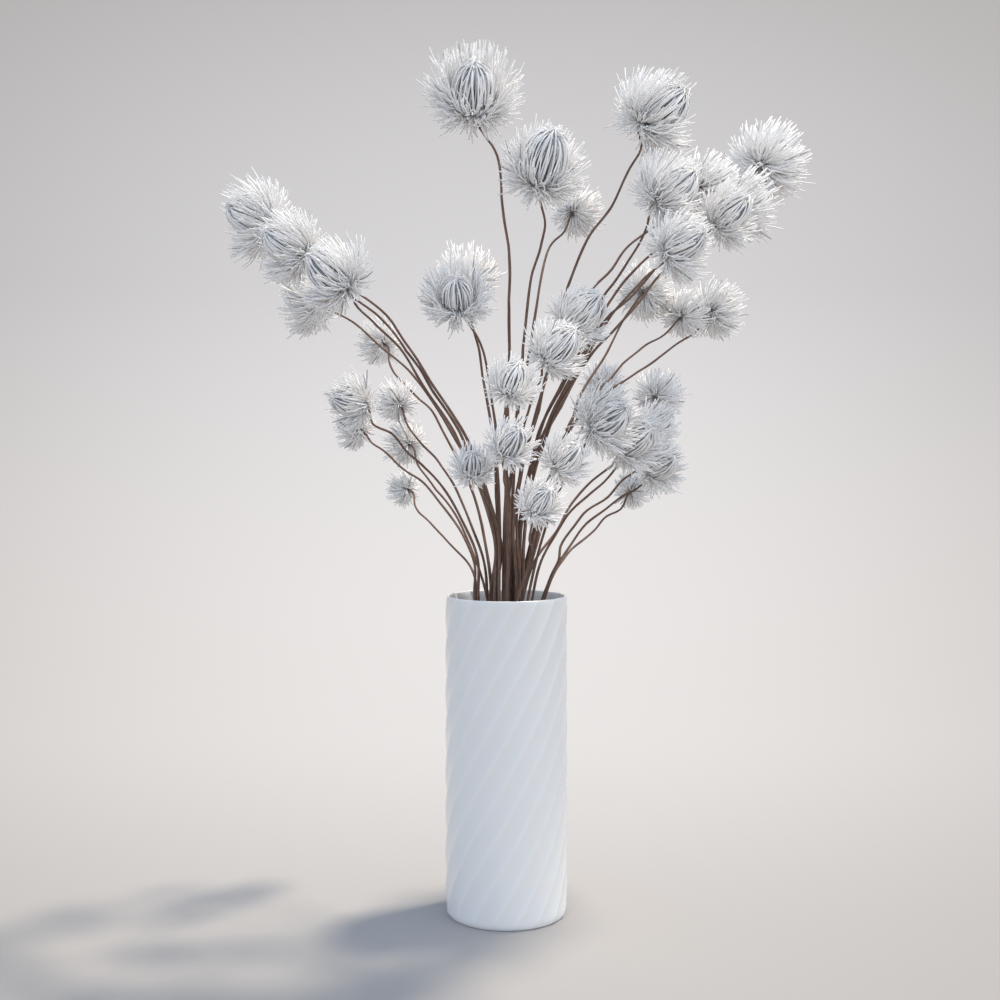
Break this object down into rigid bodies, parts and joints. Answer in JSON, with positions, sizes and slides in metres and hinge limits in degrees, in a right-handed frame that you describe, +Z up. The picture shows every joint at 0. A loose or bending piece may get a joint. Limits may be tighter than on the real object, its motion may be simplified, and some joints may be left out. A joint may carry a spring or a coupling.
{
  "type": "flower arrangement in vase",
  "caption": "Tall white vase with spiral flutes holding forked brown stems that end in round, bristly white dried blooms.",
  "frame": {"origin": "middle of the vase's flat foot, on the surface it stands on", "axes": "+Z up along the vase's axis, -Y towards the front of the arrangement, +X towards its right side"},
  "size_m": [0.6034, 0.3888, 0.8055],
  "materials": {
    "vase": "satin",
    "stem": "matte",
    "bloom": "matte"
  },
  "bodies": {
    "root": {"vase": "vase", "stem_top_1": "stem", "stem_top_2": "stem", "stem_right_1": "stem", "stem_right_2": "stem", "stem_right_3": "stem", "stem_right_4": "stem", "stem_left_1": "stem", "stem_left_2": "stem", "stem_inner_1": "stem", "stem_low_left_1": "stem", "stem_low_left_2": "stem", "stem_low_left_5": "stem", "stem_front_1": "stem", "stem_front_3": "stem", "stem_front_5": "stem", "stem_front_6": "stem", "stem_mid_right_3": "stem", "stem_low_right_1": "stem", "stem_low_right_3": "stem", "stem_low_right_6": "stem", "bloom_top_1": "bloom", "bloom_top_2": "bloom", "bloom_top_3": "bloom", "bloom_right_1": "bloom", "bloom_right_2": "bloom", "bloom_right_3": "bloom", "bloom_right_4": "bloom", "bloom_right_5": "bloom", "bloom_right_6": "bloom", "bloom_right_7": "bloom", "bloom_left_1": "bloom", "bloom_left_2": "bloom", "bloom_left_3": "bloom", "bloom_left_4": "bloom", "bloom_inner_1": "bloom", "bloom_inner_2": "bloom", "bloom_low_left_1": "bloom", "bloom_low_left_2": "bloom", "bloom_low_left_3": "bloom", "bloom_low_left_4": "bloom", "bloom_low_left_5": "bloom", "bloom_low_left_6": "bloom", "bloom_front_1": "bloom", "bloom_front_2": "bloom", "bloom_front_3": "bloom", "bloom_front_4": "bloom", "bloom_front_5": "bloom", "bloom_front_6": "bloom", "bloom_front_7": "bloom", "bloom_mid_right_1": "bloom", "bloom_mid_right_2": "bloom", "bloom_mid_right_3": "bloom", "bloom_low_right_1": "bloom", "bloom_low_right_2": "bloom", "bloom_low_right_3": "bloom", "bloom_low_right_4": "bloom", "bloom_low_right_5": "bloom", "bloom_low_right_6": "bloom", "bloom_low_right_7": "bloom"}
  },
  "joints": []
}
